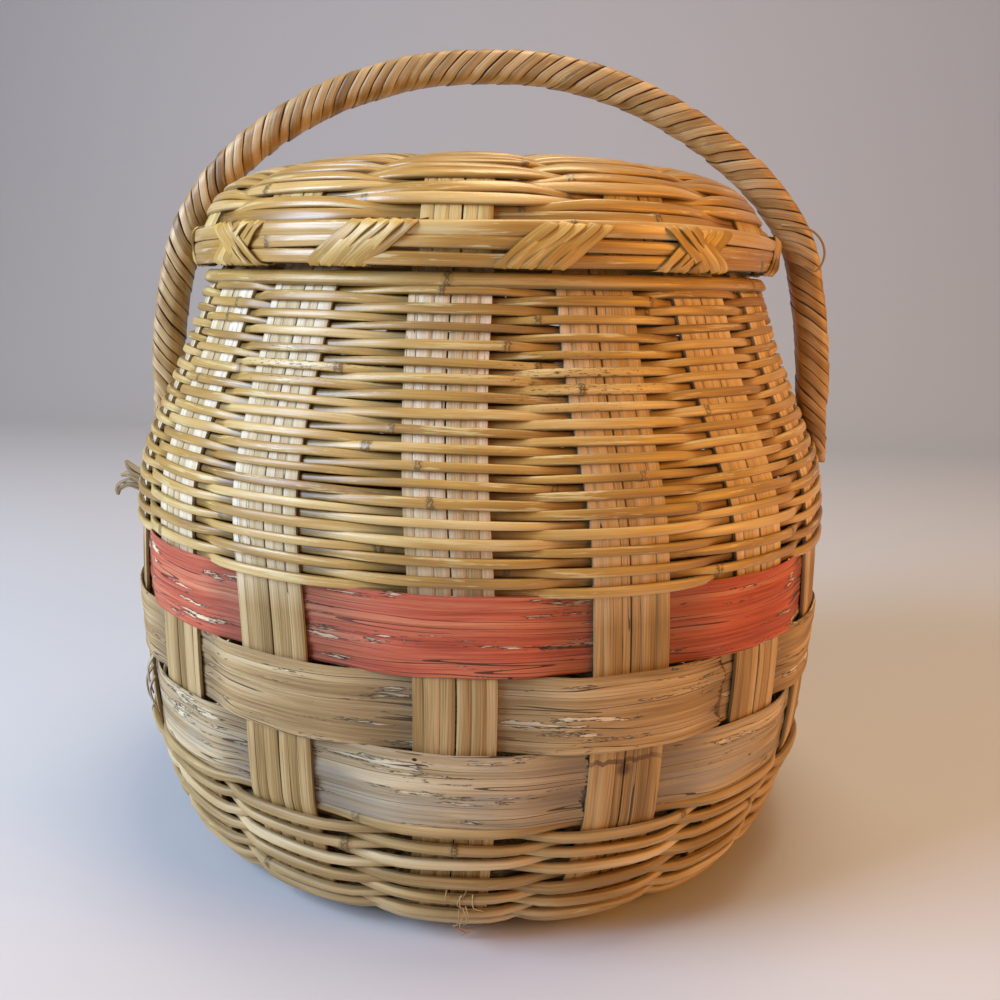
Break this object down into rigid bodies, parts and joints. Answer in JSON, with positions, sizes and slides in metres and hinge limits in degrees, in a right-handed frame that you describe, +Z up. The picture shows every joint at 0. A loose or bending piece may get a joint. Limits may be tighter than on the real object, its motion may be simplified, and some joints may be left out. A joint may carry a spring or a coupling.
{
  "type": "lidded wicker basket",
  "caption": "Round-bellied wicker basket with a domed lid that lifts off under a wrapped arch handle.",
  "frame": {"origin": "centre of the base on the floor", "axes": "+Z up; the arch handle runs along X; -Y is the front"},
  "size_m": [0.3634, 0.3643, 0.3979],
  "materials": {
    "splint_slat": "matt, fine grain, pale straw",
    "round_rod": "semi-gloss cane skin",
    "split_rod": "semi-gloss cane skin",
    "natural_band": "matt fibrous wood strip, straw",
    "natural_band_aged": "matt fibrous wood strip, straw with worn patches",
    "red_band": "wood strip dyed orange-red, cracked",
    "hoop_rod": "semi-gloss cane skin",
    "lid_slat": "matt, fine grain, straw",
    "lid_rod": "semi-gloss flattened cane",
    "rim_rod": "semi-gloss flattened cane",
    "lashing_strip": "semi-gloss cane strip",
    "handle_wood": "bare brown wood slats",
    "handle_strip": "semi-gloss cane strips"
  },
  "bodies": {
    "basket": {"slat_along_left": "splint_slat", "slat_along_inner_left": "splint_slat", "slat_along_inner_right": "splint_slat", "slat_along_right": "splint_slat", "slat_across_left": "splint_slat", "slat_across_inner_left": "splint_slat", "slat_across_inner_right": "splint_slat", "slat_across_right": "splint_slat", "lower_weaver_a": "round_rod", "lower_weaver_b": "round_rod", "upper_weaver_a": "split_rod", "upper_weaver_b": "split_rod", "band_lower": "natural_band", "band_middle": "natural_band_aged", "band_red": "red_band", "seat_hoop": "hoop_rod", "mouth_hoop_outer": "hoop_rod", "mouth_hoop_inner": "hoop_rod", "handle_core": "handle_wood", "handle_wrap": "handle_strip"},
    "lid": {"lid_slat_along_left": "lid_slat", "lid_slat_along_middle": "lid_slat", "lid_slat_along_right": "lid_slat", "lid_slat_across_left": "lid_slat", "lid_slat_across_middle": "lid_slat", "lid_slat_across_right": "lid_slat", "lid_weaver_a": "lid_rod", "lid_weaver_b": "lid_rod", "rim_rod_1": "rim_rod", "rim_rod_2": "rim_rod", "rim_rod_3": "rim_rod", "rim_inner_hoop": "rim_rod", "rim_lashing_01": "lashing_strip", "rim_lashing_02": "lashing_strip", "rim_lashing_03": "lashing_strip", "rim_lashing_04": "lashing_strip", "rim_lashing_05": "lashing_strip", "rim_lashing_06": "lashing_strip", "rim_lashing_07": "lashing_strip", "rim_lashing_08": "lashing_strip", "rim_lashing_09": "lashing_strip", "rim_lashing_10": "lashing_strip", "rim_lashing_11": "lashing_strip", "rim_lashing_12": "lashing_strip"}
  },
  "joints": [
    {"name": "lid_lift", "type": "slide", "parent": "basket", "child": "lid", "axis": [0, 0, 1], "range_m": [0, 0.0055]}
  ]
}
